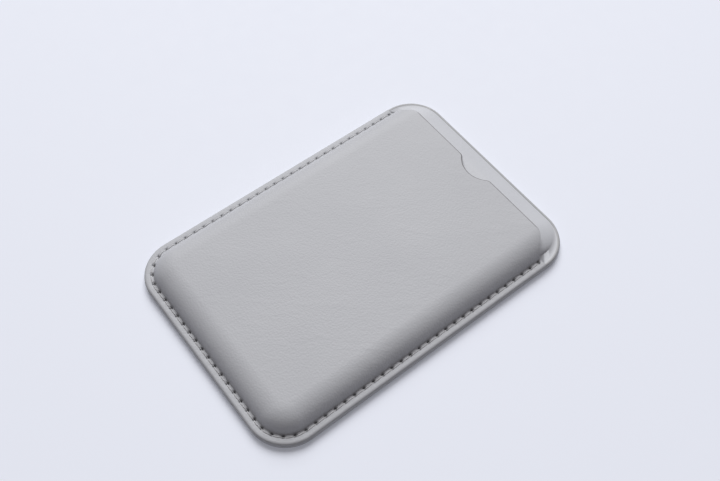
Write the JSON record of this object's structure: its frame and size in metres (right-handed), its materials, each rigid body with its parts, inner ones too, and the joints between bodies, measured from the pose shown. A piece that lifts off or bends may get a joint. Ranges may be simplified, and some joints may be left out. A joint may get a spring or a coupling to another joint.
{
  "type": "magnetic phone card holder",
  "caption": "Sewn leather card wallet with a moulded front, a thumb notch at its open end and a ring of magnets for a phone's back.",
  "frame": {"origin": "centre of the back face, which rests on the phone or a table", "axes": "+Y towards the open end of the card pocket, +X across the width, +Z out of the moulded front"},
  "size_m": [0.0658, 0.096, 0.0062],
  "materials": {
    "leather": "fine smooth grain, satin, light grey",
    "lining": "thin matt microfibre",
    "tray_plastic": "moulded, matt black",
    "foam": "closed-cell foam",
    "shield_steel": "thin rolled sheet",
    "magnet_nickel": "nickel plated",
    "thread": "twisted polyester sewing thread, a little lighter than the leather"
  },
  "bodies": {
    "root": {"back_leather": "leather", "magnet_tray": "tray_plastic", "magnet_arc_01": "magnet_nickel", "magnet_arc_02": "magnet_nickel", "magnet_arc_03": "magnet_nickel", "magnet_arc_04": "magnet_nickel", "magnet_arc_05": "magnet_nickel", "magnet_arc_06": "magnet_nickel", "magnet_arc_07": "magnet_nickel", "magnet_arc_08": "magnet_nickel", "magnet_arc_09": "magnet_nickel", "magnet_arc_10": "magnet_nickel", "magnet_arc_11": "magnet_nickel", "magnet_arc_12": "magnet_nickel", "magnet_arc_13": "magnet_nickel", "magnet_arc_14": "magnet_nickel", "magnet_arc_15": "magnet_nickel", "magnet_arc_16": "magnet_nickel", "alignment_magnet": "magnet_nickel", "shield_plate": "shield_steel", "core_pad": "foam", "pocket_facing": "leather", "front_lining": "lining", "front_panel": "leather", "needle_thread": "thread", "bobbin_thread": "thread"}
  },
  "joints": []
}
